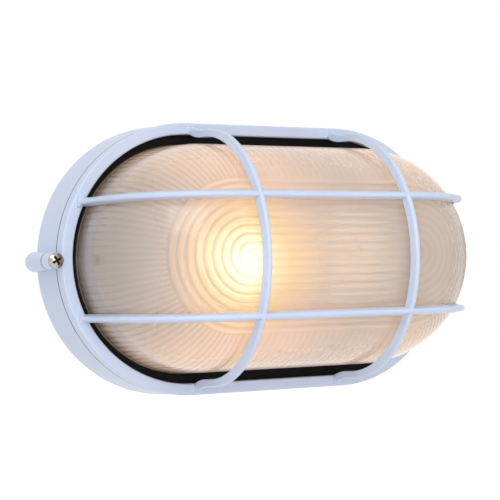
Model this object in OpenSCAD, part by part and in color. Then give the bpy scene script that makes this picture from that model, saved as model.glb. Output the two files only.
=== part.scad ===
// Oval bulkhead light: a cast body on the wall, a hinged guard frame that holds pressed glass, and one lamp.
// Modules draw in a wall frame: x along the light, y up the wall, z out from the wall.
// on_wall() turns that frame so that the wall is the plane Y = 0 and the light faces -Y.

/* [Body casting] */
// Distance between the centres of the body's two round ends
end_spacing = 96; // [84:1:130]
// Radius of the round ends at the parting line
body_r = 75; // [73:0.5:84]
// Extra radius at the wall, from the draft of the casting
body_draft = 1.4; // [0.4:0.1:2.4]
// Height of the parting line above the wall
parting_h = 25.7; // [23:0.1:32]
// Thickness of the body's wall at the parting line
body_wall = 4.4; // [3.8:0.1:6]
// Thickness of the back plate
back_t = 3; // [2.4:0.1:4.5]
// Width of the outer land that the front frame closes on
land_w = 1.6; // [1.2:0.1:1.9]
// Depth of the gasket seat below the parting line
seat_drop = 1.5; // [1:0.1:2.4]

/* [Front frame] */
// Thickness of the frame's skirt round the gasket
skirt_t = 2.2; // [1.8:0.1:3]
// Width of the frame's face, from its outer edge to the glass opening
face_w = 6.4; // [5.5:0.1:8]
// Thickness of the lip in front of the glass
lip_t = 3.2; // [2.4:0.1:5]
// Radius on the front edges of the frame
edge_r = 0.9; // [0.3:0.1:1.2]
// Width of the groove along the parting line
groove_w = 0.8; // [0.3:0.1:1]
// Depth of the groove along the parting line
groove_depth = 1.2; // [0.4:0.1:1.4]

/* [Guard bars] */
// Distance of each cross bar from the middle of the light
cross_bar_x = 44.7; // [36:0.1:47]
// Distance of each long bar from the middle of the light
long_bar_y = 30.9; // [24:0.1:36]
// Setback of the long bars' front from the cross bars' front
long_bar_sink = 0.3; // [0.2:0.1:1]
// Height above the frame's face at which the arches spring from their legs
guard_spring = 15.4; // [10:0.1:18]
// Outward flare of the legs on their way down to the frame
guard_flare = 3.5; // [2:0.1:4]
// Distance of the bars' outer side from the frame's outer edge
guard_inset = 1.5; // [1:0.1:2]
// Width of a bar across its round front
bar_front_w = 3; // [2:0.1:3.6]
// Width of a bar across its back
bar_back_w = 4.6; // [3.8:0.1:5.4]
// Depth of a bar from front to back
bar_depth = 4.4; // [3.6:0.1:5]
// Radius of the fillet at the foot of each bar
foot_fillet = 1.2; // [0.8:0.1:3]

/* [Glass] */
// Wall thickness of the glass
glass_t = 3.6; // [3:0.1:4.6]
// Thickness of the flange round the glass
flange_t = 4; // [3:0.1:6]
// Width of gasket that shows between the frame and the glass
gasket_show = 5.5; // [4.5:0.1:7]
// Extra length of the glass wall at each end, which narrows the gasket there
glass_reach = 2.8; // [0:0.1:3.4]
// Taper of the glass wall from the flange up to the dome
glass_taper = 1.5; // [0.5:0.1:3]
// Height of the dome's centre above the frame's face
dome_rise = 15.9; // [10:0.1:17]
// Distance from one prism ring to the next
prism_pitch = 4.7; // [3.5:0.1:6]
// Depth of the prism rings
prism_depth = 0.8; // [0.4:0.1:1.2]
// Number of prism rings on each side of the crown
prism_count = 9; // [4:1:11]

/* [Gasket] */
// Thickness of the gasket in front of and behind the glass flange
gasket_t = 1.6; // [1.2:0.1:2.4]
// Thickness of the gasket round the edge of the flange
gasket_web = 1.4; // [1:0.1:1.8]

/* [Closing screw] */
// Distance of the screw beyond the end of the body
lug_reach = 3.9; // [3.5:0.1:5]
// Radius of the lug at the parting line
lug_r = 4.6; // [4.4:0.1:5.5]
// Radius of the lug near the wall
lug_foot_r = 5.6; // [4.8:0.1:6.5]
// Height of the lug's front above the frame's face
lug_front = 0.9; // [0:0.1:2]
// Radius of the screw's head
screw_head_r = 4.1; // [3.6:0.1:4.4]
// Height of the screw's head
screw_head_h = 3; // [2.4:0.1:3.6]
// Radius of the screw's shank at the root of its thread
screw_core_r = 1.62; // [1.4:0.01:1.7]
// Radius of the tapped hole at the crest of the thread
tapped_r = 2; // [1.9:0.05:2.2]
// Length of screw in the body
screw_grip = 12; // [9:0.5:16]

/* [Hinge] */
// Distance of the hinge pin beyond the end of the body
hinge_reach = 6; // [5.6:0.1:8]
// Depth of the hinge pin below the parting line
hinge_drop = 1.7; // [1.2:0.1:3]
// Radius of the hinge knuckles
knuckle_r = 4.4; // [4:0.1:4.8]
// Width of the frame's knuckle
knuckle_w = 8; // [6:0.5:14]
// Width of each ear on the body
ear_w = 4.5; // [3.5:0.1:7]
// Radius of the hinge pin
pin_r = 2; // [1.5:0.05:2.4]
// Running clearance round the hinge pin
pin_clear = 0.06; // [0.03:0.01:0.09]

/* [Wall fixing] */
// Distance between the two wall screws
fixing_spacing = 208; // [196:1:216]
// Radius of the holes for the wall screws
fixing_r = 2.75; // [2:0.05:3.2]
// Radius of the cable's way through the grommet
cable_r = 4; // [3:0.1:5]

/* [Lamp] */
// Radius of the lamp's bulb
bulb_r = 30; // [22:0.5:34]
// Length of the lamp from tip to centre contact
bulb_len = 106; // [96:0.5:112]
// Height of the lamp's axis above the wall
lamp_h = 50; // [44:0.5:56]
// Distance from the round end's centre to the back of the lampholder
holder_offset = 13.5; // [8:0.5:16]

/* [Hidden] */
$fn = 96;

// Clearance between pieces that are pushed together
fit_gap = 0.2;
// Clearance between faces that pass each other at the hinge
side_gap = 0.3;
// Overlap that makes a cut pass right through a face
through = 1;

// Outline of the body and frame
half = end_spacing / 2;
seat_h = parting_h - seat_drop;
seat_r = body_r - land_w;
well_r = body_r - body_wall;
well_draft = 0.6;
recess_r = body_r - skirt_t;
open_r = body_r - face_w;
groove_r = body_r - groove_depth;

// Stack of gasket, glass flange and lip above the gasket seat
flange_h = seat_h + gasket_t;
front_leg_h = flange_h + flange_t;
lip_h = front_leg_h + gasket_t;
face_h = lip_h + lip_t;

// Radii of the gasket and the glass
gasket_r = recess_r - fit_gap;
gasket_back_w = 5.2;
flange_r = gasket_r - gasket_web - fit_gap / 2;
glass_spacing = end_spacing + 2 * glass_reach;
glass_foot_r = open_r - gasket_show;
dome_r = glass_foot_r - glass_taper;
dome_h = face_h + dome_rise;
prism_r = dome_r - glass_t;
prism_chord = 1.06 * prism_pitch;
prism_lens_r = (pow(prism_chord / 2, 2) + pow(prism_depth, 2)) / (2 * prism_depth);
prism_angle = 180 / PI * prism_pitch / prism_r;

// Guard arches: quarter circles to the crown on legs that flare out to the frame's face
guard_r = body_r - guard_inset - guard_flare;
long_r = round(10 * sqrt(pow(guard_r, 2) - pow(long_bar_y, 2))) / 10 - long_bar_sink;
flare_r = (pow(guard_spring, 2) + pow(guard_flare, 2)) / (2 * guard_flare);
bar_root = 1.6;

// Closing screw
lug_x = -(half + body_r + lug_reach);
lug_front_h = face_h + lug_front;
lug_rear_h = 1.5;
lug_round = 3;
lug_trim_r = body_r - skirt_t / 2;
lug_groove_r = lug_r - groove_depth / 2;
screw_tip_h = parting_h - screw_grip;
tapped_depth = screw_grip + 2;
screw_clear_r = tapped_r + fit_gap;
recess_w = 1.3;
recess_len = 5;
recess_depth = 2;
recess_turn = 30;
retainer_r = 3.3;
retainer_t = 1.3;

// Hinge
hinge_x = half + body_r + hinge_reach;
hinge_h = parting_h - hinge_drop;
ear_y = knuckle_w / 2 + side_gap;
ear_foot_h = 6;
ear_top_angle = 45;
knuckle_low_angle = 20;
knuckle_top_angle = 75;
pin_proud = 0.6;
pin_len = 2 * (ear_y + ear_w + pin_proud);

// Wall fixing and cable entry
fixing_boss_r = fixing_r + 3;
fixing_boss_h = 2;
grommet_neck_r = cable_r + 1.9;
grommet_lip_r = grommet_neck_r + 2.7;
grommet_lip_t = 1.4;
grommet_taper = 1;
grommet_wall = 2 * back_t - grommet_lip_t;
grommet_seat_r = grommet_lip_r + 2.2;
cable_x = half + 34;
cable_y = -40;

// Lamp and lampholder
cap_r = 13.1;
cap_len = 26;
cap_tip_r = 4.6;
cap_tip_h = 1;
thread_pitch = 3.6;
thread_depth = 0.7;
thread_start = 4;
thread_turns = 5;
neck_r = cap_r - thread_depth;
neck_angle = 62;
neck_steps = 8;
contact_h = 1.6;
contact_plate_t = 0.6;
holder_back_x = half + holder_offset;
holder_floor = 11;
holder_len = cap_len + holder_floor;
holder_r = 20;
holder_bore_r = 14.5;
holder_neck_r = 18;
holder_neck_len = 7;
holder_rim = 1;
holder_corner = 3;
holder_foot = 5;
lamp_end_x = holder_back_x - holder_floor - contact_h;
bulb_x = lamp_end_x - bulb_len + bulb_r;
shell_t = 0.5;
shell_mouth = 2;
shell_hole_r = 6.5;
holder_screw_y = 12.6;

// Bracket, leads and terminals
bracket_t = 1.5;
bracket_w = 36;
bracket_foot = 26;
pad_h = 2.4;
pad_top = back_t + pad_h;
bracket_screw_y = 10;
lead_r = 1.4;
lead_y = 6;
lead_bend = 5;
lead_h = lamp_h - 7;
lead_pocket = 6;
lead_run = 3;
terminal_len = 18;
terminal_x = holder_back_x + bracket_t + lead_run + 2 * lead_bend + 1.5;
terminal_tube_r = 4.2;
terminal_h = pad_top + terminal_tube_r;
terminal_web = 3;
terminal_tower_r = 3.3;
terminal_tower_h = 9;
terminal_screw_x = 4.6;
tower_recess = 2.6;
clamp_slot_w = 0.7;
insert_r = 2.7;
insert_bore_r = lead_r + 0.3;
insert_setback = 1;
block_core_r = 1.2;
block_head_r = 1.7;
block_head_h = 1.6;
block_slot = [0.6, 2, 0.7];
earth_x = half + 22;
earth_y = 44;
earth_boss_r = 5;
small_head_r = 3.5;
small_head_h = 2.2;
small_core_r = 1.6;
small_grip = 4;
small_slot = [0.9, 3.8, 1.1];
washer_r = 4.4;
washer_t = 1;
washer_rim_w = 0.5;
washer_rim_h = 1.8;

// Points along an arc, for polygons
function arc(centre, radius, from, to, steps = 6) =
    [for (i = [0 : steps])
        let (turn = from + (to - from) * i / steps) centre + radius * [cos(turn), sin(turn)]];

// The point where a line from p, passing clockwise of the circle's centre c, touches the circle of radius r
function tangent_point(p, c, r) =
    let (d = c - p, turn = atan2(d.y, d.x) - asin(r / norm(d)))
    p + sqrt(d * d - r * r) * [cos(turn), sin(turn)];

// Wall frame to part frame
module on_wall() {
    rotate([90, 0, 0]) children();
}

// Sweeps a section of radius against height round an oval outline
module round_the_oval(spacing = end_spacing) {
    for (side = [-1, 1])
        translate([side * spacing / 2, 0, 0]) rotate([0, 0, -90 * side])
            rotate_extrude(angle = 180) children();
    translate([-spacing / 2, 0, 0]) rotate([90, 0, 90]) linear_extrude(spacing) {
        children();
        mirror([1, 0]) children();
    }
}

// A flat oval of the given end radius
module oval(radius, spacing = end_spacing) {
    for (side = [-1, 1])
        translate([side * spacing / 2, 0]) circle(radius);
    square([spacing, 2 * radius], center = true);
}

// Draws children with their z axis along the light, at the lamp's height
module along_lamp(x) {
    translate([x, 0, lamp_h]) rotate([0, 90, 0]) children();
}

// Extrudes a drawing of length against height across the wall frame's y
module across(width) {
    rotate([90, 0, 0]) linear_extrude(width, center = true) children();
}

// A round-headed screw standing on z = 0 with a cross recess in its head
module headed_screw(head_r, head_h, core_r, grip, slot) {
    crown = 0.55 * head_h;
    dome = (head_r * head_r + crown * crown) / (2 * crown);
    difference() {
        union() {
            cylinder(r = head_r, h = head_h - crown);
            intersection() {
                translate([0, 0, head_h - dome]) sphere(dome);
                cylinder(r = head_r, h = head_h);
            }
            translate([0, 0, -grip]) cylinder(r = core_r, h = grip + head_h / 4);
        }
        for (turn = [0, 90])
            rotate([0, 0, turn]) translate([0, 0, head_h]) cube([slot.x, slot.y, 2 * slot.z], center = true);
    }
}

// A small assembly screw with its head's seat on z = 0
module small_screw(grip = small_grip) {
    headed_screw(small_head_r, small_head_h, small_core_r, grip, small_slot);
}

// Section of one guard bar: x runs outwards to the round front, y is the bar's width
module bar_section() {
    front = bar_front_w / 2;
    polygon([
        [-bar_depth, -bar_back_w / 2], [-front, -front],
        [-front, front], [-bar_depth, bar_back_w / 2]
    ]);
    translate([-front, 0]) circle(front, $fn = 32);
}

// Half of a guard arch, in the plane of x and z: a quarter circle to the crown on a leg that flares outwards
module half_arch(radius) {
    rotate([90, 0, 0]) translate([0, guard_spring, 0]) rotate_extrude(angle = 90)
        translate([radius, 0]) bar_section();
    difference() {
        rotate([90, 0, 0]) translate([radius + flare_r, guard_spring, 0]) rotate(180)
            rotate_extrude(angle = 45) translate([flare_r, 0]) mirror([1, 0]) bar_section();
        translate([radius - bar_depth - through, -bar_back_w, -bar_root - guard_spring])
            cube([flare_r, 2 * bar_back_w, guard_spring]);
    }
}

// The filleted foot of a half arch on the frame's face
module bar_foot(radius) {
    width = bar_back_w + 2 * foot_fillet;
    translate([radius + guard_flare - bar_depth + fit_gap, 0, -bar_root / 2]) rotate([90, 0, 90])
        linear_extrude(bar_depth - 2 * fit_gap) difference() {
            translate([-width / 2, 0]) square([width, foot_fillet + bar_root / 2]);
            for (side = [-1, 1])
                translate([side * width / 2, foot_fillet + bar_root / 2]) circle(foot_fillet, $fn = 32);
        }
}

// Draws children where each half arch stands, with its radius in $radius
module at_half_arches() {
    translate([0, 0, face_h]) {
        for (x = [-cross_bar_x, cross_bar_x], turn = [90, -90])
            translate([x, 0, 0]) rotate([0, 0, turn]) let ($radius = guard_r) children();
        for (y = [-long_bar_y, long_bar_y], side = [0, 180])
            translate([side == 0 ? half : -half, y, 0]) rotate([0, 0, side])
                let ($radius = long_r) children();
    }
}

// Two arches across the light and two bars along it, with feet that stay on the frame's face
module guard_bars() {
    at_half_arches() half_arch($radius);
    for (y = [-long_bar_y, long_bar_y])
        translate([-half, y, face_h + guard_spring + long_r]) rotate([90, 0, 90])
            linear_extrude(end_spacing) rotate(90) bar_section();
    difference() {
        at_half_arches() bar_foot($radius);
        linear_extrude(face_h + 2 * foot_fillet) oval(open_r + edge_r + fit_gap);
    }
}

// The boss that the closing screw is driven into, tapered from a round rear end up to the parting line
module screw_boss() {
    rotate_extrude() polygon(concat(
        [[0, lug_rear_h]],
        arc([lug_foot_r - lug_round, lug_rear_h + lug_round], lug_round, -90, 0),
        [[lug_r, parting_h], [0, parting_h]]
    ));
}

// Aluminium body: bowl with gasket seat, screw boss, hinge ears, pads and cable entry
module base_casting() {
    wall_x = half + lug_trim_r;
    pin_at = [hinge_x, hinge_h];
    ear_foot = [wall_x, ear_foot_h];
    color("#dfe5f0") on_wall() difference() {
        union() {
            round_the_oval() polygon([
                [body_r + body_draft, 0], [body_r, parting_h], [seat_r, parting_h], [seat_r, seat_h],
                [well_r, seat_h], [well_r - well_draft, back_t / 2], [well_r - well_draft, 0]
            ]);
            linear_extrude(back_t) oval(well_r + land_w);
            difference() {
                translate([lug_x, 0, 0]) screw_boss();
                translate([0, 0, -through]) linear_extrude(face_h) oval(lug_trim_r);
            }
            for (side = [-1, 1])
                translate([0, side * (ear_y + ear_w / 2), 0]) across(ear_w) {
                    translate(pin_at) circle(knuckle_r);
                    polygon([
                        ear_foot, tangent_point(ear_foot, pin_at, knuckle_r), pin_at,
                        pin_at + knuckle_r * [-cos(ear_top_angle), sin(ear_top_angle)],
                        [half + body_r + side_gap, parting_h - side_gap], [wall_x, parting_h - side_gap]
                    ]);
                }
            for (x = [-fixing_spacing / 2, fixing_spacing / 2])
                translate([x, 0, 0]) cylinder(r = fixing_boss_r, h = back_t + fixing_boss_h);
            for (y = [-bracket_screw_y, bracket_screw_y])
                translate([holder_back_x - bracket_foot / 2, y, 0]) cylinder(r = earth_boss_r, h = pad_top);
            translate([terminal_x + terminal_len / 2, 0, 0]) cylinder(r = earth_boss_r, h = pad_top);
            translate([earth_x, earth_y, 0]) cylinder(r = earth_boss_r, h = pad_top);
            translate([cable_x, cable_y, 0]) cylinder(r = grommet_seat_r, h = grommet_lip_t + grommet_wall);
        }
        translate([lug_x, 0, parting_h - tapped_depth]) cylinder(r = tapped_r, h = tapped_depth + through);
        translate([hinge_x, 0, hinge_h]) rotate([90, 0, 0])
            cylinder(r = pin_r, h = 2 * pin_len, center = true);
        for (x = [-fixing_spacing / 2, fixing_spacing / 2])
            translate([x, 0, -through]) cylinder(r = fixing_r, h = parting_h);
        for (y = [-bracket_screw_y, bracket_screw_y])
            translate([holder_back_x - bracket_foot / 2, y, pad_top - small_grip]) screw_hole();
        translate([terminal_x + terminal_len / 2, 0, pad_top - small_grip]) screw_hole(block_core_r);
        translate([earth_x, earth_y, pad_top - small_grip]) screw_hole();
        translate([cable_x, cable_y, -through]) {
            cylinder(r = grommet_neck_r + fit_gap, h = parting_h);
            cylinder(r = grommet_lip_r + fit_gap, h = through + grommet_lip_t);
        }
    }
}

// Hole for an assembly screw, open at its top
module screw_hole(core_r = small_core_r) {
    cylinder(r = core_r + fit_gap, h = parting_h);
}

// Rubber grommet in the back plate, flush with the wall face
module cable_grommet() {
    neck_top = grommet_lip_t + grommet_wall;
    top = neck_top + grommet_lip_t;
    color("#2a2826") on_wall() translate([cable_x, cable_y, 0]) rotate_extrude() polygon(concat(
        [[cable_r, 0], [grommet_lip_r, 0], [grommet_lip_r, grommet_lip_t], [grommet_neck_r, grommet_lip_t]],
        [[grommet_neck_r, neck_top], [grommet_lip_r, neck_top]],
        [[grommet_lip_r - grommet_taper, top], [cable_r, top]]
    ));
}

// Cast front frame: face ring, guard bars, screw lug and hinge knuckle in one piece
module front_frame() {
    wall_x = half + (recess_r + groove_r) / 2;
    pin_at = [hinge_x, hinge_h];
    color("#e6ebf5") on_wall() difference() {
        union() {
            round_the_oval() polygon(concat(
                [[recess_r, parting_h], [groove_r, parting_h]],
                [[groove_r, parting_h + groove_w], [body_r, parting_h + groove_w]],
                arc([body_r - edge_r, face_h - edge_r], edge_r, 0, 90, 4),
                arc([open_r + edge_r, face_h - edge_r], edge_r, 90, 180, 4),
                [[open_r, lip_h], [recess_r, lip_h]]
            ));
            guard_bars();
            difference() {
                translate([lug_x, 0, 0]) rotate_extrude() polygon([
                    [0, parting_h], [lug_groove_r, parting_h], [lug_groove_r, parting_h + groove_w],
                    [lug_r, parting_h + groove_w], [lug_r, lug_front_h], [0, lug_front_h]
                ]);
                linear_extrude(lug_front_h + through) oval(lug_trim_r);
            }
            across(knuckle_w) {
                translate(pin_at) circle(knuckle_r);
                polygon([
                    [wall_x, parting_h], [half + body_r + side_gap, parting_h],
                    pin_at + knuckle_r * [-cos(knuckle_low_angle), sin(knuckle_low_angle)], pin_at,
                    pin_at + knuckle_r * [cos(knuckle_top_angle), sin(knuckle_top_angle)],
                    [wall_x, face_h - 2 * edge_r]
                ]);
            }
        }
        translate([lug_x, 0, 0]) {
            cylinder(r = screw_clear_r, h = lug_front_h + through);
            cylinder(r = retainer_r + fit_gap, h = parting_h + retainer_t + 2 * fit_gap);
        }
        translate([hinge_x, 0, hinge_h]) rotate([90, 0, 0])
            cylinder(r = pin_r + pin_clear, h = 2 * knuckle_w, center = true);
    }
}

// Half section of the glass: tapered wall and dome with prism rings inside
module glass_section() {
    reach = 2 * dome_r;
    difference() {
        union() {
            intersection() {
                translate([0, dome_h]) circle(dome_r, $fn = 180);
                translate([0, dome_h]) square(reach);
            }
            polygon([
                [0, flange_h], [glass_foot_r, flange_h], [glass_foot_r, front_leg_h],
                [dome_r, dome_h], [0, dome_h]
            ]);
        }
        intersection() {
            translate([0, dome_h]) circle(prism_r, $fn = 180);
            translate([0, dome_h]) square(reach);
        }
        polygon([
            [-through, flange_h - through], [glass_foot_r - glass_t, flange_h - through],
            [glass_foot_r - glass_t, flange_h], [prism_r, dome_h], [-through, dome_h]
        ]);
        for (i = [0 : prism_count])
            translate([0, dome_h]) rotate(-i * prism_angle)
                translate([0, prism_r + prism_depth - prism_lens_r]) circle(prism_lens_r);
    }
}

// Pressed glass with concentric prism rings and a flange all round
module glass_diffuser() {
    color("#e3d6c8", 0.6) on_wall() {
        round_the_oval(glass_spacing) intersection() {
            glass_section();
            square([glass_foot_r + through, dome_h + dome_r + through]);
        }
        translate([0, 0, flange_h]) linear_extrude(flange_t) difference() {
            oval(flange_r);
            oval(glass_foot_r - glass_t / 2, glass_spacing);
        }
    }
}

// Rubber channel round the glass flange
module glass_gasket() {
    color("#1e1a1a") on_wall() difference() {
        translate([0, 0, seat_h]) linear_extrude(lip_h - seat_h) oval(gasket_r);
        linear_extrude(flange_h + fit_gap) oval(gasket_r - gasket_back_w);
        translate([0, 0, flange_h]) linear_extrude(flange_t) oval(gasket_r - gasket_web);
        translate([0, 0, flange_h]) linear_extrude(face_h) oval(glass_foot_r + fit_gap, glass_spacing);
    }
}

// Captive closing screw in the frame's lug
module closing_screw() {
    color("#c9c6c0") on_wall() translate([lug_x, 0, lug_front_h]) rotate([0, 0, recess_turn])
        headed_screw(
            screw_head_r, screw_head_h, screw_core_r, lug_front_h - screw_tip_h,
            [recess_w, recess_len, recess_depth]
        );
}

// Nylon washer that keeps the closing screw in the lug
module screw_retainer() {
    color("#e8e4d8") on_wall() translate([lug_x, 0, parting_h + fit_gap]) difference() {
        cylinder(r = retainer_r, h = retainer_t);
        translate([0, 0, -through]) cylinder(r = screw_core_r, h = retainer_t + 2 * through);
    }
}

// Steel hinge pin, fast in the body's ears
module hinge_pin() {
    chamfer = 0.4;
    color("#b9b9b9") on_wall() translate([hinge_x, 0, hinge_h]) rotate([90, 0, 0])
        rotate_extrude() polygon([
            [0, -pin_len / 2], [pin_r - chamfer, -pin_len / 2], [pin_r, chamfer - pin_len / 2],
            [pin_r, pin_len / 2 - chamfer], [pin_r - chamfer, pin_len / 2], [0, pin_len / 2]
        ]);
}

// Lamp: opal bulb, neck and screw cap as one sealed solid
module lamp_bulb() {
    cap_z = bulb_len - bulb_r - cap_len;
    tip_z = cap_z + cap_len;
    thread_z = cap_z + thread_start;
    root_r = cap_r - thread_depth;
    neck_top = bulb_r * [sin(neck_angle), cos(neck_angle)];
    color("#fff0d2") on_wall() along_lamp(bulb_x) {
        sphere(bulb_r);
        rotate_extrude() polygon(concat(
            [[0, 0], neck_top],
            [for (i = [1 : neck_steps])
                let (t = i / neck_steps, ease = t * t * (3 - 2 * t))
                    [neck_top.x * (1 - ease) + neck_r * ease, neck_top.y * (1 - t) + cap_z * t]],
            [for (i = [0 : thread_turns - 1], step = [0, 1])
                [root_r + step * thread_depth, thread_z + (i + step / 2) * thread_pitch]],
            [[root_r, thread_z + thread_turns * thread_pitch], [cap_tip_r + cap_tip_h, tip_z - cap_tip_h]],
            [[cap_tip_r, tip_z], [0, tip_z]]
        ));
    }
}

// Porcelain lampholder
module lampholder_body() {
    foot_r = holder_r - holder_corner;
    shoulder = holder_r - holder_neck_r;
    floor_z = holder_len - holder_floor;
    color("#f2efe6") on_wall() difference() {
        along_lamp(holder_back_x - holder_len) rotate_extrude() polygon(concat(
            [[holder_bore_r, 0], [holder_neck_r - holder_rim, 0], [holder_neck_r, holder_rim]],
            [[holder_neck_r, holder_neck_len], [holder_r, holder_neck_len + shoulder]],
            arc([foot_r, holder_len - holder_foot - holder_corner], holder_corner, 0, 90, 4),
            [[foot_r, holder_len], [0, holder_len], [0, floor_z], [holder_bore_r, floor_z]]
        ));
        for (y = [-lead_y, lead_y])
            translate([holder_back_x - lead_pocket, y, lead_h]) rotate([0, 90, 0])
                cylinder(r = lead_r + fit_gap, h = 2 * lead_pocket);
        for (y = [-holder_screw_y, holder_screw_y])
            translate([holder_back_x - small_grip - fit_gap, y, lamp_h]) rotate([0, 90, 0]) screw_hole();
    }
}

// Threaded metal sleeve of the lampholder
module lampholder_shell() {
    outer = holder_bore_r - fit_gap / 2;
    inner = outer - shell_t;
    length = cap_len - shell_mouth;
    color("#c9a65a") on_wall() along_lamp(holder_back_x - holder_len + shell_mouth)
        rotate_extrude() polygon([
            [inner, 0], [outer, 0], [outer, length],
            [shell_hole_r, length], [shell_hole_r, length - shell_t], [inner, length - shell_t]
        ]);
}

// Centre contact of the lampholder: a button on a round plate
module lampholder_contact() {
    button_r = cap_tip_r - contact_plate_t;
    color("#c9a65a") on_wall() along_lamp(lamp_end_x) rotate_extrude() polygon([
        [0, 0], [button_r, 0], [button_r, contact_h - contact_plate_t],
        [cap_tip_r, contact_h - contact_plate_t], [cap_tip_r, contact_h], [0, contact_h]
    ]);
}

// Screws that hold the lampholder to its bracket
module lampholder_screws() {
    color("#b9b9b9") on_wall() for (y = [-holder_screw_y, holder_screw_y])
        translate([holder_back_x + bracket_t, y, lamp_h]) rotate([0, 90, 0])
            small_screw(small_grip + bracket_t);
}

// Bent steel bracket between the lampholder and the body
module lampholder_bracket() {
    window = [2 * lead_y + 6, 8];
    color("#c2c4c6") on_wall() difference() {
        union() {
            translate([holder_back_x, 0, 0]) rotate([90, 0, 90]) linear_extrude(bracket_t) {
                translate([0, lamp_h]) circle(bracket_w / 2);
                translate([-bracket_w / 2, pad_top]) square([bracket_w, lamp_h - pad_top]);
            }
            translate([holder_back_x - bracket_foot, -bracket_w / 2, pad_top])
                cube([bracket_foot + bracket_t, bracket_w, bracket_t]);
        }
        translate([holder_back_x + bracket_t / 2, 0, lead_h])
            cube([2 * bracket_t, window.x, window.y], center = true);
        for (y = [-holder_screw_y, holder_screw_y])
            translate([holder_back_x + bracket_t / 2, y, lamp_h]) rotate([0, 90, 0])
                cylinder(r = small_core_r + fit_gap, h = 2 * bracket_t, center = true);
        for (y = [-bracket_screw_y, bracket_screw_y])
            translate([holder_back_x - bracket_foot / 2, y, pad_top + bracket_t / 2])
                cylinder(r = small_core_r + fit_gap, h = 2 * bracket_t, center = true);
    }
}

// Screws that hold the bracket to the body
module bracket_screws() {
    color("#b9b9b9") on_wall() for (y = [-bracket_screw_y, bracket_screw_y])
        translate([holder_back_x - bracket_foot / 2, y, pad_top + bracket_t])
            small_screw(small_grip + bracket_t - fit_gap);
}

// Two-way terminal block: a barrel and two screw towers for each way, on one web
module terminal_block() {
    color("#f0eee8") on_wall() difference() {
        translate([terminal_x, 0, 0]) {
            for (y = [-lead_y, lead_y]) {
                translate([0, y, terminal_h]) rotate([0, 90, 0])
                    cylinder(r = terminal_tube_r, h = terminal_len);
                for (x = [terminal_screw_x, terminal_len - terminal_screw_x])
                    translate([x, y, terminal_h]) cylinder(r = terminal_tower_r, h = terminal_tower_h);
            }
            translate([0, -lead_y, pad_top]) cube([terminal_len, 2 * lead_y, terminal_web]);
        }
        translate([terminal_x, 0, terminal_h]) for (y = [-lead_y, lead_y]) {
            translate([-through, y, 0]) rotate([0, 90, 0])
                cylinder(r = insert_r + fit_gap / 2, h = terminal_len + 2 * through);
            for (x = [terminal_screw_x, terminal_len - terminal_screw_x])
                translate([x, y, 0]) screw_hole();
        }
        translate([terminal_x + terminal_len / 2, 0, 0]) screw_hole(block_core_r);
    }
}

// Brass tubes inside the terminal block
module terminal_inserts() {
    color("#c9a65a") on_wall() for (y = [-lead_y, lead_y])
        translate([terminal_x + insert_setback, y, terminal_h]) rotate([0, 90, 0]) difference() {
            cylinder(r = insert_r, h = terminal_len - 2 * insert_setback);
            translate([0, 0, -through]) cylinder(r = insert_bore_r, h = terminal_len + through);
        }
}

// Clamping screws of the terminal block, run down on the brass tubes
module terminal_screws() {
    length = terminal_tower_h - tower_recess - insert_r;
    towers = [terminal_screw_x, terminal_len - terminal_screw_x];
    color("#c9a65a") on_wall() for (y = [-lead_y, lead_y], x = towers)
        translate([terminal_x + x, y, terminal_h + insert_r]) difference() {
            cylinder(r = small_core_r, h = length);
            translate([0, 0, length])
                cube([4 * small_core_r, clamp_slot_w, 2 * clamp_slot_w], center = true);
        }
}

// Screw that holds the terminal block to the body
module terminal_fixing() {
    color("#b9b9b9") on_wall() translate([terminal_x + terminal_len / 2, 0, pad_top + terminal_web])
        headed_screw(
            block_head_r, block_head_h, block_core_r, small_grip + terminal_web - fit_gap, block_slot
        );
}

// Earth screw on its boss
module earth_screw() {
    color("#c9a65a") on_wall() translate([earth_x, earth_y, pad_top + washer_t])
        small_screw(small_grip + washer_t - fit_gap);
}

// Cup washer under the earth screw
module earth_washer() {
    hole_r = small_core_r + fit_gap;
    cup_r = washer_r - washer_rim_w;
    color("#c9a65a") on_wall() translate([earth_x, earth_y, pad_top]) rotate_extrude() polygon([
        [hole_r, 0], [washer_r, 0], [washer_r, washer_rim_h],
        [cup_r, washer_rim_h], [cup_r, washer_t], [hole_r, washer_t]
    ]);
}

// Insulated lead from the back of the lampholder down to one way of the terminal block
module lead(y) {
    start_x = holder_back_x - lead_pocket;
    turn_x = holder_back_x + bracket_t + lead_run;
    on_wall() translate([0, y, 0]) {
        translate([start_x, 0, lead_h]) rotate([0, 90, 0]) cylinder(r = lead_r, h = turn_x - start_x);
        translate([turn_x, 0, lead_h - lead_bend]) rotate([90, 0, 0]) rotate_extrude(angle = 90)
            translate([lead_bend, 0]) circle(lead_r);
        translate([turn_x + lead_bend, 0, terminal_h + lead_bend])
            cylinder(r = lead_r, h = lead_h - terminal_h - 2 * lead_bend);
        translate([turn_x + 2 * lead_bend, 0, terminal_h + lead_bend]) rotate([90, 0, 0]) rotate([0, 0, 180])
            rotate_extrude(angle = 90) translate([lead_bend, 0]) circle(lead_r);
        translate([turn_x + 2 * lead_bend, 0, terminal_h]) rotate([0, 90, 0])
            cylinder(r = lead_r, h = terminal_x + terminal_len / 2 - turn_x - 2 * lead_bend);
    }
}

module live_lead() {
    color("#7a4a2a") lead(lead_y);
}

module neutral_lead() {
    color("#3a66b0") lead(-lead_y);
}

base_casting();
cable_grommet();
front_frame();
glass_diffuser();
glass_gasket();
closing_screw();
screw_retainer();
hinge_pin();
lamp_bulb();
lampholder_body();
lampholder_shell();
lampholder_contact();
lampholder_screws();
lampholder_bracket();
bracket_screws();
terminal_block();
terminal_inserts();
terminal_screws();
terminal_fixing();
earth_screw();
earth_washer();
live_lead();
neutral_lead();
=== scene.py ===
"""Oval bulkhead light: a painted casting with a guard over ribbed pressed glass, lit by one lamp."""

import math

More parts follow.
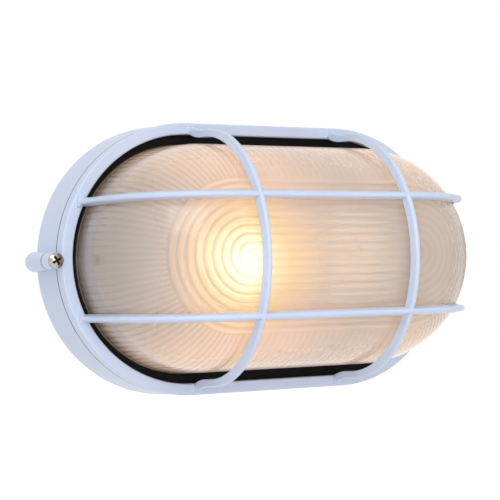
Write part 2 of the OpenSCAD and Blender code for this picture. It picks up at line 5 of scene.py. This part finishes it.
import bmesh
import bpy
from mathutils import Matrix, Vector


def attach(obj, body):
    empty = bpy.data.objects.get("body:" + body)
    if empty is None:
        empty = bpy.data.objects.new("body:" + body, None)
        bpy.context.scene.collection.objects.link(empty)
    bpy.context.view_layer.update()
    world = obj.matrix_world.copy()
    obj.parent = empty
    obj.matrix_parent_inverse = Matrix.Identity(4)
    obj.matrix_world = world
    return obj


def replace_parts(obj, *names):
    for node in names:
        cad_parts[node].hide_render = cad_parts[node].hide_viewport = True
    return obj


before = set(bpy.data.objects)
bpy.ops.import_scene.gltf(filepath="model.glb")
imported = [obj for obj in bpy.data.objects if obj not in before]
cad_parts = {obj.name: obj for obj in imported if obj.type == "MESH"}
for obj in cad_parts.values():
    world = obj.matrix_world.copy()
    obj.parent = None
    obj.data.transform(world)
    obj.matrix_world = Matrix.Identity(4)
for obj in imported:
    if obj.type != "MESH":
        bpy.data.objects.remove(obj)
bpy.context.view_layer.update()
MM = 0.001

# Sizes shared with the solids, in millimetres
HALF = 50.8          # from the middle of the light to the centre of each round end of the glass
DOME_H = 50.5        # height of the dome's centre above the wall
DOME_R = 61.6        # outer radius of the dome
GLASS_T = 3.6        # wall of the glass
INNER_R = DOME_R - GLASS_T
MID_R = DOME_R - GLASS_T / 2   # middle of the wall
FOOT_R = 63.1        # outer radius of the glass where it meets its flange
FLANGE_R = 68.2
FLANGE_BACK = 25.8   # heights of the flange's faces above the wall
FLANGE_FRONT = 29.8
RING_DEPTH = 0.8
RINGS = 9            # prism rings on each side of the crown
LAMP_H = 50.0        # height of the lamp's axis above the wall
BULB_X = -27.1       # centre of the bulb
BULB_R = 30.0
NECK = math.radians(62)   # where the bulb runs into its neck, from the lamp's axis
CAP_R = 13.1
NECK_R = CAP_R - 0.7
CAP_FROM = 22.9      # where the lamp's cap starts
CAP_TO = 48.9        # centre contact of the cap
GROOVE_H = 26.05     # height of the groove along the parting line
SCREW_X = -126.9     # axis of the closing screw
RECESS_TURN = math.radians(30)   # turn of the screw's cross recess

# Sizes that only this script has, in millimetres
RING_PITCH = 4.4     # from one prism ring to the next, a little closer than in the solid
RING_CUTS = 8        # steps of the section in each ring
FLUTES_END = 50      # flutes round half a turn of each end
FLUTES_SIDE = 26     # flutes along each straight side
FLUTE_DEPTH = 0.36
FLUTE_CUTS = 4       # sweep steps in each flute
FLUTE_FADE_IN = 3.0  # the flutes deepen over this length past the last ring
FLUTE_FADE_OUT = 6.0   # and end over this height above the flange
CORE_X = -20.0       # the lamp's glowing core sags a little below the lamp's axis
CORE_R = 6.0
CORE_DROP = 2.5
THREAD_PITCH = 3.6   # ridges of the lamp's cap
GROOVE_SHADE_HALF = 0.42    # half the width of the painted shade in the groove
GROOVE_SHADE_END = 121.5    # the painted shade ends here, short of the hinge
RECESS_HALF_W = 0.7  # the painted shade fills the cross recess and a hair beyond it
RECESS_HALF_L = 2.55
PAINTED_GLOW_FROM = (-52, -112, -4)   # lamp's end of the crown, where the painted glow and its bright ribs are strongest
PAINTED_GLOW_REACH = 120     # the painted glow's colours run over this distance
MARK_FROM = 13.2     # radii between which the mould mark steps up
MARK_TO = 13.8

# Camera and studio, in degrees and metres
CAMERA_TURNS = (28.168, 1.361, -1.329)   # yaw, pitch and roll
CAMERA_PLACE = (-0.382894, -0.729649, -0.014239)
LENS_MM = 100.8
SENSOR_MM = 36.0
FLOOR_HALF = 6.0
FLOOR_DROP = 0.35
LIT_POINT = (0, -0.05, 0)   # what the studio lamps face


def colour(code):
    """An sRGB hex colour as linear RGBA."""
    parts = [int(code[i:i + 2], 16) / 255 for i in (1, 3, 5)]
    return tuple(c / 12.92 if c <= 0.04045 else ((c + 0.055) / 1.055) ** 2.4 for c in parts) + (1.0,)


def add(tree, kind, inputs=None, **settings):
    """Adds a shader node, with settings on the node and values or links on its inputs."""
    node = tree.nodes.new("ShaderNode" + kind)
    for name, value in settings.items():
        setattr(node, name, value)
    for name, value in (inputs or {}).items():
        if isinstance(value, bpy.types.NodeSocket):
            tree.links.new(value, node.inputs[name])
        else:
            node.inputs[name].default_value = value
    return node


def new_material(name, **constants):
    """A material with one Principled shader; returns it with its tree, shader and object coordinates."""
    material = bpy.data.materials.new(name)
    material.use_nodes = True
    tree = material.node_tree
    shader = tree.nodes["Principled BSDF"]
    for socket, value in constants.items():
        shader.inputs[socket.replace("_", " ")].default_value = value
    place = add(tree, "TexCoord").outputs["Object"]
    return material, tree, shader, place


def per_mm(size):
    """Texture scale at which one cell of a pattern is this many millimetres."""
    return 1 / (size * MM)


def dress(material, *nodes):
    """Puts a material on every slot of the named solids."""
    for name in nodes:
        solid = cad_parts[name]
        solid.data.materials.clear()
        solid.data.materials.append(material)


def tinted(tree, place, size, low, high, detail=4.0):
    """A colour that drifts between two hex colours over patches of this many millimetres."""
    noise = add(tree, "TexNoise", {"Vector": place, "Scale": per_mm(size), "Detail": detail})
    return add(tree, "Mix", {0: noise.outputs["Fac"], 6: colour(low), 7: colour(high)}, data_type="RGBA").outputs[2]


def grained(tree, shader, place, size, low, high, detail=3.0):
    """Lets the roughness drift between two values over patches of this many millimetres; returns the pattern."""
    grain = add(tree, "TexNoise", {"Vector": place, "Scale": per_mm(size), "Detail": detail}).outputs["Fac"]
    drift = add(tree, "MapRange", {"Value": grain, "To Min": low, "To Max": high})
    tree.links.new(drift.outputs["Result"], shader.inputs["Roughness"])
    return grain


def bumped(tree, shader, height, strength, rise, **normal):
    """Raises the surface by a pattern whose full height is this many millimetres."""
    bump = add(tree, "Bump", {"Height": height, **normal, "Strength": strength, "Distance": rise * MM})
    tree.links.new(bump.outputs["Normal"], shader.inputs["Normal"])


# Stoved enamel on a sand casting: cool white, satin gloss, faint orange peel, softly rounded edges
# and painted shade, dark paint in place of the shadow in the groove along the parting line
enamel, tree, shader, place = new_material("stoved_white_enamel", Coat_Weight=0.25, Coat_Roughness=0.22)
paint = tinted(tree, place, 40, "#ccd9f1", "#d6e1f6")
x, y, _ = add(tree, "SeparateXYZ", {"Vector": place}).outputs
# Painted shade: the paint is darkened along the parting-line groove in place of the groove's own shadow
in_groove = add(tree, "Math", {0: y, 1: -GROOVE_H * MM, 2: GROOVE_SHADE_HALF * MM}, operation="COMPARE")
off_hinge = add(tree, "Math", {0: x, 1: GROOVE_SHADE_END * MM}, operation="LESS_THAN")
groove_shade_mask = add(tree, "Math", {0: in_groove.outputs[0], 1: off_hinge.outputs[0]}, operation="MULTIPLY")
shaded_groove_paint = add(tree, "Mix", {0: groove_shade_mask.outputs[0], 6: paint, 7: colour("#4a4e58")}, data_type="RGBA")
tree.links.new(shaded_groove_paint.outputs[2], shader.inputs["Base Color"])
peel = grained(tree, shader, place, 1.6, 0.34, 0.46)
rounded = add(tree, "Bevel", {"Radius": 0.5 * MM}, samples=4)
bumped(tree, shader, peel, 0.12, 0.05, Normal=rounded.outputs["Normal"])
dress(enamel, "base_casting", "front_frame")

# Moulded rubber: near black, matt, with a dusty bloom
rubber, tree, shader, place = new_material("moulded_black_rubber", Specular_IOR_Level=0.12)
tree.links.new(tinted(tree, place, 6, "#080706", "#110e0d"), shader.inputs["Base Color"])
bloom = grained(tree, shader, place, 0.8, 0.5, 0.75, 4.0)
bumped(tree, shader, bloom, 0.2, 0.05)
dress(rubber, "glass_gasket", "cable_grommet")

# Nickel plate on a turned screw: bright, with fine rings left by the tool and painted shade in its cross recess
nickel, tree, shader, place = new_material("nickel_plated_steel", Metallic=1.0)
plate = tinted(tree, place, 3, "#a69e93", "#c0b8ae")
centred = add(tree, "Mapping", {"Vector": place, "Location": (-SCREW_X * MM, 0, 0)})
unturned = add(tree, "VectorRotate", {
    "Vector": centred.outputs["Vector"], "Angle": RECESS_TURN}, rotation_type="Y_AXIS")
# Painted shade: the cross recess is coloured dark in place of its shadow
arms = []
along, _, across = add(tree, "SeparateXYZ", {"Vector": unturned.outputs["Vector"]}).outputs
for one, other in ((along, across), (across, along)):
    narrow = add(tree, "Math", {0: one, 1: 0.0, 2: RECESS_HALF_W * MM}, operation="COMPARE")
    length = add(tree, "Math", {0: other, 1: 0.0, 2: RECESS_HALF_L * MM}, operation="COMPARE")
    arms.append(add(tree, "Math", {0: narrow.outputs[0], 1: length.outputs[0]}, operation="MULTIPLY").outputs[0])
recess = add(tree, "Math", {0: arms[0], 1: arms[1]}, operation="MAXIMUM")
recess_shaded_plate = add(tree, "Mix", {0: recess.outputs[0], 6: plate, 7: colour("#2a2420")}, data_type="RGBA")
tree.links.new(recess_shaded_plate.outputs[2], shader.inputs["Base Color"])
turned = add(tree, "TexWave", {
    "Vector": centred.outputs["Vector"], "Scale": per_mm(0.5) / 20, "Distortion": 1.0, "Detail": 2.0},
    wave_type="RINGS", rings_direction="Y")
worn = add(tree, "MapRange", {"Value": turned.outputs["Fac"], "To Min": 0.2, "To Max": 0.34})
tree.links.new(worn.outputs["Result"], shader.inputs["Roughness"])
bumped(tree, shader, turned.outputs["Fac"], 0.15, 0.03)
dress(nickel, "closing_screw")

# Zinc plate on pressed steel: grey, with the spangle of a passivated finish
zinc, tree, shader, place = new_material("zinc_plated_steel", Metallic=1.0)
spangle = add(tree, "TexVoronoi", {"Vector": place, "Scale": per_mm(2.5)})
tree.links.new(tinted(tree, place, 8, "#a9acae", "#c3c6c9"), shader.inputs["Base Color"])
worn = add(tree, "MapRange", {"Value": spangle.outputs["Distance"], "To Min": 0.28, "To Max": 0.46})
tree.links.new(worn.outputs["Result"], shader.inputs["Roughness"])
dress(zinc, "hinge_pin", "lampholder_screws", "lampholder_bracket", "bracket_screws", "terminal_fixing")

# Plain brass: warm, with darker tarnish in patches
brass, tree, shader, place = new_material("plain_brass", Metallic=1.0)
tree.links.new(tinted(tree, place, 5, "#a98a4c", "#d2b472"), shader.inputs["Base Color"])
grained(tree, shader, place, 1.5, 0.25, 0.42, 4.0)
dress(
    brass, "lampholder_shell", "lampholder_contact", "terminal_inserts", "terminal_screws",
    "earth_screw", "earth_washer")

# Glazed porcelain: creamy white under a clear, slightly wavy glaze
porcelain, tree, shader, place = new_material("glazed_porcelain", Coat_Weight=0.8, Coat_Roughness=0.06)
tree.links.new(tinted(tree, place, 9, "#ebe7dc", "#f4f1e9"), shader.inputs["Base Color"])
glaze = grained(tree, shader, place, 5, 0.16, 0.28, 2.0)
bumped(tree, shader, glaze, 0.1, 0.1)
dress(porcelain, "lampholder_body")

# Natural nylon: milky, with a soft moulded sheen
nylon, tree, shader, place = new_material("natural_nylon", Subsurface_Weight=0.15)
tree.links.new(tinted(tree, place, 7, "#e4e0d3", "#efece2"), shader.inputs["Base Color"])
grained(tree, shader, place, 0.9, 0.36, 0.5)
dress(nylon, "screw_retainer", "terminal_block")

# Extruded wire insulation: smooth soft plastic with a faint drift in its colour
for name, low, high in (("live_lead", "#6a3d22", "#80502f"), ("neutral_lead", "#2c57a4", "#3f6cb8")):
    sleeve, tree, shader, place = new_material(name + "_insulation")
    tree.links.new(tinted(tree, place, 4, low, high), shader.inputs["Base Color"])
    grained(tree, shader, place, 1.2, 0.38, 0.5, 2.0)
    dress(sleeve, name)


def finish_piece(name, mesh_data, body, materials):
    """Turns a bmesh into a smooth-shaded piece that moves with its body."""
    mesh = bpy.data.meshes.new(name)
    mesh_data.to_mesh(mesh)
    mesh_data.free()
    for material in materials:
        mesh.materials.append(material)
    mesh.shade_smooth()
    piece = bpy.data.objects.new(name, mesh)
    bpy.context.scene.collection.objects.link(piece)
    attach(piece, body)
    return piece


# Pressed glass: smooth and glossy outside, ribbed inside. The wall's glow is partly painted light: emission set by
# place round the lamp's end, on top of the lamp's real light through the glass.
glass, tree, shader, place = new_material("ribbed_pressed_glass", IOR=1.5, Transmission_Weight=0.7)
x, y, z = add(tree, "SeparateXYZ", {"Vector": place}).outputs
ribs = add(tree, "UVMap", uv_map="ribs")
flute, ring, _ = add(tree, "SeparateXYZ", {"Vector": ribs.outputs["UV"]}).outputs
# The painted glow is banded to follow the ribs: by the rings over the crown and by the flutes beyond the last ring
waves = []
for count, depth in ((ring, 1.0), (flute, 0.8)):
    phase = add(tree, "Math", {0: count, 1: math.tau}, operation="MULTIPLY")
    wave = add(tree, "Math", {0: phase.outputs[0]}, operation="COSINE")
    waves.append(add(tree, "Math", {0: wave.outputs[0], 1: depth}, operation="MULTIPLY").outputs[0])
in_flutes = add(tree, "MapRange", {"Value": ring, "From Min": RINGS + 0.35, "From Max": RINGS + 0.6})
painted_rib_bands = add(tree, "Mix", {0: in_flutes.outputs["Result"], 2: waves[0], 3: waves[1]})
# Painted warm light fades with the distance from the lamp's end of the crown
from_lamp = add(tree, "VectorMath", {0: place, 1: tuple(c * MM for c in PAINTED_GLOW_FROM)}, operation="DISTANCE")
reach = from_lamp.outputs["Value"]
far = add(tree, "MapRange", {"Value": reach, "From Max": PAINTED_GLOW_REACH * MM})
painted_glow = add(tree, "ValToRGB", {"Fac": far.outputs["Result"]})
stops = painted_glow.color_ramp.elements
stops[0].position, stops[0].color = 0.0, colour("#dcdcd6")
stops[1].position, stops[1].color = 1.0, colour("#69523f")
for millimetres, code in ((8, "#c8c3ab"), (14, "#9d9674"), (24, "#8e733f"), (32, "#8c653a"),
                          (45, "#76533b"), (60, "#6c4b2e"), (80, "#573f2c")):
    stop = stops.new(millimetres / PAINTED_GLOW_REACH)
    stop.color = colour(code)
contrast = add(tree, "MapRange", {
    "Value": x, "From Min": -56 * MM, "From Max": -36 * MM, "To Min": 0.45, "To Max": 0.12})
banded_glow_strength = add(tree, "Math", {
    0: painted_rib_bands.outputs[0], 1: contrast.outputs["Result"], 2: 1.0}, operation="MULTIPLY_ADD")
# The painted glow is weaker at the end beyond the lamp's tip, the foot by the gasket, the rim and the far end, and
# stronger on the flanks.
# Each row: its name, the measure it follows, from and to in millimetres, its share at both, and its easing.
off_crown = add(tree, "Math", {0: z}, operation="ABSOLUTE").outputs[0]
shares = {}
for name, measure, start, end, low, high, easing in (
        ("tip", x, -116, -70, 0.22, 1.0, "SMOOTHSTEP"),
        ("foot", y, -45, -32, 1.0, 0.25, "LINEAR"),
        ("flank", off_crown, 22, 50, 1.0, 1.85, "LINEAR"),
        ("rim", off_crown, 58.5, 61.5, 1.0, 0.3, "LINEAR"),
        ("far_end", x, 65, 106, 1.0, 0.45, "LINEAR")):
    shares[name] = add(tree, "MapRange", {
        "Value": measure, "From Min": start * MM, "From Max": end * MM, "To Min": low, "To Max": high},
        interpolation_type=easing).outputs["Result"]
strength = banded_glow_strength.outputs[0]
for share in shares.values():
    strength = add(tree, "Math", {0: strength, 1: share}, operation="MULTIPLY").outputs[0]
tree.links.new(painted_glow.outputs["Color"], shader.inputs["Emission Color"])
tree.links.new(strength, shader.inputs["Emission Strength"])
# Clear glass, painted warmer by the lamp as painted light, and painted darker at its tip, its foot, its rim and its
# far edge as painted shade
clear = tinted(tree, place, 12, "#efe7dc", "#f6f0e8")
near = add(tree, "MapRange", {
    "Value": reach, "From Min": 16 * MM, "From Max": 54 * MM, "To Min": 1.0, "To Max": 0.0},
    interpolation_type="SMOOTHSTEP")
tint = add(tree, "Mix", {0: near.outputs["Result"], 6: clear, 7: colour("#f2e0c0")}, data_type="RGBA").outputs[2]
for name, code in (("tip", "#c4bcb3"), ("foot", "#4e3a2e"), ("rim", "#5e4433")):
    tint = add(tree, "Mix", {0: shares[name], 6: colour(code), 7: tint}, data_type="RGBA").outputs[2]
edge = add(tree, "MapRange", {"Value": x, "From Min": 86 * MM, "From Max": 102 * MM}).outputs["Result"]
by_edge = add(tree, "Mix", {0: edge, 6: tint, 7: colour("#8f8377")}, data_type="RGBA")
tree.links.new(by_edge.outputs[2], shader.inputs["Base Color"])
# Satin gloss, dulled at the rim and the far edge
ripple = add(tree, "TexNoise", {"Vector": place, "Scale": per_mm(2.0), "Detail": 3.0})
satin = add(tree, "MapRange", {"Value": ripple.outputs["Fac"], "To Min": 0.1, "To Max": 0.16})
at_rim = add(tree, "Math", {0: 1.0, 1: shares["rim"]}, operation="SUBTRACT")
dulled = add(tree, "Math", {0: at_rim.outputs[0], 1: edge}, operation="MAXIMUM")
rough = add(tree, "Math", {0: dulled.outputs[0], 1: 0.55, 2: satin.outputs["Result"]}, operation="MULTIPLY_ADD")
tree.links.new(rough.outputs[0], shader.inputs["Roughness"])
# Faint round witness mark of the mould in the middle of the crown
flat_place = add(tree, "CombineXYZ", {"X": x, "Y": z})
from_middle = add(tree, "VectorMath", {0: flat_place.outputs["Vector"]}, operation="LENGTH")
mark = add(tree, "MapRange", {
    "Value": from_middle.outputs["Value"], "From Min": MARK_FROM * MM, "From Max": MARK_TO * MM},
    interpolation_type="SMOOTHSTEP")
bumped(tree, shader, mark.outputs["Result"], 0.5, 0.15)

# The same glass on its inner side, where it is frosted: least round the lamp's tip, more heavily along the light
# and most at its far end and on its flanks
frosted, tree, shader, place = new_material("pressed_glass_inner_side", IOR=1.5, Transmission_Weight=1.0)
tree.links.new(tinted(tree, place, 12, "#f3ede4", "#fbf8f2"), shader.inputs["Base Color"])
frost = add(tree, "TexNoise", {"Vector": place, "Scale": per_mm(0.7), "Detail": 3.0})
satin = add(tree, "MapRange", {"Value": frost.outputs["Fac"], "To Min": 0.17, "To Max": 0.25})
x, _, z = add(tree, "SeparateXYZ", {"Vector": place}).outputs
heavier = add(tree, "MapRange", {"Value": x, "From Min": -100 * MM, "From Max": -30 * MM, "To Max": 0.31})
far_frost = add(tree, "MapRange", {"Value": x, "From Min": 40 * MM, "From Max": 75 * MM, "To Max": 0.35})
off_crown = add(tree, "Math", {0: z}, operation="ABSOLUTE")
flank_frost = add(tree, "MapRange", {
    "Value": off_crown.outputs[0], "From Min": 38 * MM, "From Max": 54 * MM, "To Max": 0.35})
frosting = add(tree, "Math", {
    0: far_frost.outputs["Result"], 1: flank_frost.outputs["Result"]}, operation="MAXIMUM").outputs[0]
rough = satin.outputs["Result"]
for share in (heavier.outputs["Result"], frosting):
    rough = add(tree, "Math", {0: rough, 1: share}, operation="ADD").outputs[0]
tree.links.new(rough, shader.inputs["Roughness"])


def arc_point(radius, turn):
    """A point of the dome's section, by its angle from the crown."""
    return radius * math.sin(turn), DOME_H + radius * math.cos(turn)


def glass_profile():
    """Half section of the glass from its outer crown round the flange to its inner crown, as (radius, height)."""
    crown_steps, flute_steps = 24, 14
    points = [arc_point(DOME_R, math.radians(90 * step / crown_steps)) for step in range(crown_steps + 1)]
    taper = (FOOT_R - DOME_R) / (DOME_H - FLANGE_FRONT)
    wall = [(FOOT_R - taper * (h - FLANGE_FRONT), h) for h in (46.0, 42.0, 38.0, 34.0, FLANGE_FRONT)]
    points += wall + [(FLANGE_R, FLANGE_FRONT), (FLANGE_R, FLANGE_BACK), (FOOT_R - GLASS_T, FLANGE_BACK)]
    points += [(r - GLASS_T, h) for r, h in reversed(wall)]
    ring_angle = RING_PITCH / INNER_R
    ring_zone = (RINGS + 0.5) * ring_angle
    for step in range(flute_steps + 1):
        points.append(arc_point(INNER_R, math.pi / 2 + (ring_zone - math.pi / 2) * step / flute_steps))
    for step in range(round((RINGS + 0.5) * RING_CUTS) - 1, -1, -1):
        across = (step / RING_CUTS + 0.5) % 1.0 * 2 - 1
        points.append(arc_point(INNER_R + RING_DEPTH * (1 - across * across), step / RING_CUTS * ring_angle))
    return points


def end_place(point):
    """Radius, perimeter position in flutes, and height of a point of the glass, in millimetres."""
    x, height, z = point.x / MM, -point.y / MM, point.z / MM
    past = abs(x) - HALF
    if past <= 0:
        return abs(z), (x + HALF) / (2 * HALF) * FLUTES_SIDE, height
    return math.hypot(past, z), math.atan2(past, abs(z)) / math.pi * FLUTES_END, height


def is_inner(radius, height):
    """Whether a point of the glass is on its inner side."""
    return math.hypot(radius, max(height - DOME_H, 0)) < MID_R


def pressed_glass():
    """Sweeps the section round the oval, then presses the flutes into the inner side."""
    bm = bmesh.new()
    verts = [bm.verts.new((HALF * MM, -h * MM, -r * MM)) for r, h in glass_profile()]
    edges = [bm.edges.new(pair) for pair in zip(verts, verts[1:])]
    section = verts + edges
    run = FLUTE_CUTS * FLUTES_SIDE
    for side in (1, -1):
        spun = bmesh.ops.spin(
            bm, geom=section, cent=(side * HALF * MM, 0, 0), axis=(0, -1, 0), angle=math.pi,
            steps=FLUTE_CUTS * FLUTES_END)
        pulled = bmesh.ops.spin(
            bm, geom=spun["geom_last"], cent=(0, 0, 0), axis=(0, -1, 0), angle=0, steps=run,
            dvec=(-side * 2 * HALF * MM / run, 0, 0))
        section = pulled["geom_last"]
    bmesh.ops.remove_doubles(bm, verts=bm.verts, dist=0.02 * MM)
    bmesh.ops.recalc_face_normals(bm, faces=bm.faces)
    ring_zone = (RINGS + 0.5) * RING_PITCH
    for vert in bm.verts:
        radius, flute, height = end_place(vert.co)
        past_rings = math.atan2(radius, height - DOME_H) * INNER_R - ring_zone
        if is_inner(radius, height) and past_rings > 0 and height > FLANGE_FRONT:
            fade = min(past_rings / FLUTE_FADE_IN, 1.0) * min((height - FLANGE_FRONT) / FLUTE_FADE_OUT, 1.0)
            vert.co += vert.normal * -FLUTE_DEPTH * MM * fade * (0.5 - 0.5 * math.cos(math.tau * flute))
    uv = bm.loops.layers.uv.new("ribs")
    for face in bm.faces:
        radius, _, height = end_place(face.calc_center_median())
        face.material_index = 1 if is_inner(radius, height) and height > FLANGE_BACK + 0.1 else 0
        for loop in face.loops:
            radius, flute, height = end_place(loop.vert.co)
            turn = math.atan2(radius, height - DOME_H)
            loop[uv].uv = (flute, turn * INNER_R / RING_PITCH)
    return finish_piece("pressed_glass", bm, "front", [glass, frosted])


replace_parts(pressed_glass(), "glass_diffuser")

# Pearl lamp: thin frosted glass that lets the light of its filament out almost unchanged
pearl, tree, shader, place = new_material("pearl_lamp_glass", Alpha=0.3, Roughness=0.35, IOR=1.5)
tree.links.new(tinted(tree, place, 10, "#fff3dd", "#fffaf0"), shader.inputs["Base Color"])
shader.inputs["Emission Color"].default_value = colour("#ffcf8f")
etched = add(tree, "TexNoise", {"Vector": place, "Scale": per_mm(6), "Detail": 3.0})
lit = add(tree, "MapRange", {"Value": etched.outputs["Fac"], "To Min": 0.2, "To Max": 0.3})
tree.links.new(lit.outputs["Result"], shader.inputs["Emission Strength"])

# Glowing filament and its bright haze, drawn as one warm core
filament, tree, shader, place = new_material("glowing_filament", Roughness=0.6)
tree.links.new(tinted(tree, place, 3, "#fff0d0", "#fffaf0"), shader.inputs["Base Color"])
shader.inputs["Emission Color"].default_value = colour("#ffd49c")
shader.inputs["Emission Strength"].default_value = 3.8

# Rolled tinned brass of the lamp's cap
cap_metal, tree, shader, place = new_material("tinned_lamp_cap", Metallic=1.0)
tree.links.new(tinted(tree, place, 6, "#b9b6ae", "#cfccc4"), shader.inputs["Base Color"])
grained(tree, shader, place, 1.5, 0.25, 0.4)


def turned_piece(name, profile, material, steps=72, drop=0.0):
    """Spins a section of (place along the lamp, radius) round the lamp's axis, then lowers it."""
    bm = bmesh.new()
    verts = [bm.verts.new((x * MM, -LAMP_H * MM, r * MM)) for x, r in profile]
    edges = [bm.edges.new(pair) for pair in zip(verts, verts[1:])]
    bmesh.ops.spin(
        bm, geom=verts + edges, cent=(0, -LAMP_H * MM, 0), axis=(1, 0, 0), angle=math.tau, steps=steps,
        use_merge=True)
    bmesh.ops.remove_doubles(bm, verts=bm.verts, dist=0.01 * MM)
    bmesh.ops.recalc_face_normals(bm, faces=bm.faces)
    bmesh.ops.translate(bm, verts=bm.verts, vec=(0, 0, -drop * MM))
    return finish_piece(name, bm, "base", [material])


def ball_section(middle, radius, sweep, steps):
    """Section of a ball from its tip through this angle, as (place along the lamp, radius)."""
    turns = [i * sweep / steps for i in range(steps + 1)]
    return [(middle - radius * math.cos(t), radius * math.sin(t)) for t in turns]


bulb = ball_section(BULB_X, BULB_R, math.pi - NECK, 40)
from_x, from_r = bulb[-1]
for step in range(1, 13):
    along = step / 12
    ease = along * along * (3 - 2 * along)
    bulb.append((from_x + (CAP_FROM - from_x) * along, from_r + (NECK_R - from_r) * ease))
bulb.append((CAP_FROM + 0.5, 0))
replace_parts(turned_piece("lamp_envelope", bulb, pearl), "lamp_bulb")

turned_piece("lamp_filament", ball_section(CORE_X, CORE_R, math.pi, 16), filament, 32, CORE_DROP)

cap = [(CAP_FROM + 0.6, 0), (CAP_FROM + 0.6, NECK_R), (CAP_FROM + 3.5, NECK_R)]
for ridge in range(5):
    at = CAP_FROM + 4 + THREAD_PITCH * ridge
    cap += [(at, NECK_R), (at + 0.9, NECK_R + 0.5), (at + 1.8, CAP_R), (at + 2.7, NECK_R + 0.5)]
cap += [(CAP_FROM + 22, NECK_R), (CAP_TO - 1, 5.6), (CAP_TO, 4.6), (CAP_TO, 0)]
turned_piece("lamp_cap", cap, cap_metal)

# Camera at the photograph's viewing angle
yaw, pitch, roll = (math.radians(a) for a in CAMERA_TURNS)
ahead = Vector((math.sin(yaw) * math.cos(pitch), math.cos(yaw) * math.cos(pitch), math.sin(pitch)))
level = Vector((math.cos(yaw), -math.sin(yaw), 0))
upright = level.cross(ahead)
right = math.cos(roll) * level + math.sin(roll) * upright
above = -math.sin(roll) * level + math.cos(roll) * upright
lens = bpy.data.cameras.new("camera")
lens.lens, lens.sensor_width = LENS_MM, SENSOR_MM
lens.clip_start = 0.01
camera = bpy.data.objects.new("camera", lens)
axes_of_view = Matrix((right, above, -ahead)).transposed().to_4x4()
camera.matrix_world = Matrix.Translation(CAMERA_PLACE) @ axes_of_view
bpy.context.scene.collection.objects.link(camera)
bpy.context.scene.camera = camera


def seen_rays(tree, lighting, seen):
    """A strength for rays that only carry light, and another for those that show the background."""
    rays = add(tree, "LightPath").outputs
    shown = rays["Is Camera Ray"]
    for kind in ("Is Glossy Ray", "Is Transmission Ray"):
        shown = add(tree, "Math", {0: shown, 1: rays[kind]}, operation="MAXIMUM").outputs[0]
    return add(tree, "MapRange", {"Value": shown, "To Min": lighting, "To Max": seen}).outputs["Result"]


# Plain pale floor, well below the light so that its shadow falls there
paper, tree, shader, place = new_material("pale_floor", Roughness=0.9)
tree.links.new(tinted(tree, place, 60, "#f4f4f4", "#f8f8f8"), shader.inputs["Base Color"])
shader.inputs["Emission Color"].default_value = colour("#ffffff")
tree.links.new(seen_rays(tree, 0.0, 0.5), shader.inputs["Emission Strength"])
bm = bmesh.new()
bmesh.ops.create_grid(bm, x_segments=1, y_segments=1, size=FLOOR_HALF)
bmesh.ops.translate(bm, verts=bm.verts, vec=(0, 0, -FLOOR_DROP))
floor_mesh = bpy.data.meshes.new("floor")
bm.to_mesh(floor_mesh)
bm.free()
floor_mesh.materials.append(paper)
floor = bpy.data.objects.new("floor", floor_mesh)
bpy.context.scene.collection.objects.link(floor)

# White surroundings: softer as light than they look to the camera, in reflections and through glass
world = bpy.data.worlds.new("white_studio")
bpy.context.scene.world = world
world.use_nodes = True
tree = world.node_tree
background = tree.nodes["Background"]
background.inputs["Color"].default_value = colour("#ffffff")
tree.links.new(seen_rays(tree, 0.55, 1.0), background.inputs["Strength"])


def soft_light(name, place, size, watts, tint):
    """A square studio lamp that faces the light."""
    data = bpy.data.lights.new(name, "AREA")
    data.size, data.energy, data.color = size, watts, colour(tint)[:3]
    lamp = bpy.data.objects.new(name, data)
    lamp.location = place
    lamp.rotation_euler = (Vector(LIT_POINT) - Vector(place)).to_track_quat("-Z", "Y").to_euler()
    bpy.context.scene.collection.objects.link(lamp)


soft_light("key", (-1.0, -1.2, 1.3), size=1.2, watts=11, tint="#f4f9ff")
soft_light("fill", (-0.4, -1.9, 0.2), size=1.2, watts=9.5, tint="#f5f8ff")

bpy.context.scene.view_settings.view_transform = "Standard"
